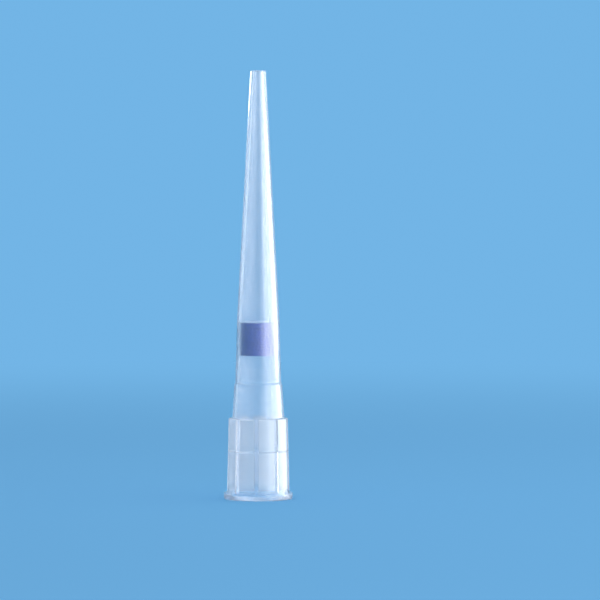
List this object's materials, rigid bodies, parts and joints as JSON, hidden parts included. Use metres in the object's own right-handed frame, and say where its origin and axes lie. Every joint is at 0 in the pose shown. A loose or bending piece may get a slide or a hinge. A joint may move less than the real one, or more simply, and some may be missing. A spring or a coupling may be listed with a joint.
{
  "type": "filter pipette tip",
  "caption": "Long tapered tip of clear plastic with a flanged, grooved collar that pushes onto a pipette's nozzle, and a blue porous filter plug held in its bore.",
  "frame": {"origin": "centre of the flat face of the rim at the mouth, which the tip stands on", "axes": "+Z along the tip's axis from the mouth to the orifice, and -Y through the middle of one collar groove"},
  "size_m": [0.0084, 0.0084, 0.0525],
  "materials": {
    "natural_polypropylene": "clear, slightly milky, glossy moulded",
    "sintered_polyethylene": "porous, dyed blue"
  },
  "bodies": {
    "root": {"tip_body": "natural_polypropylene", "filter_plug": "sintered_polyethylene"}
  },
  "joints": []
}
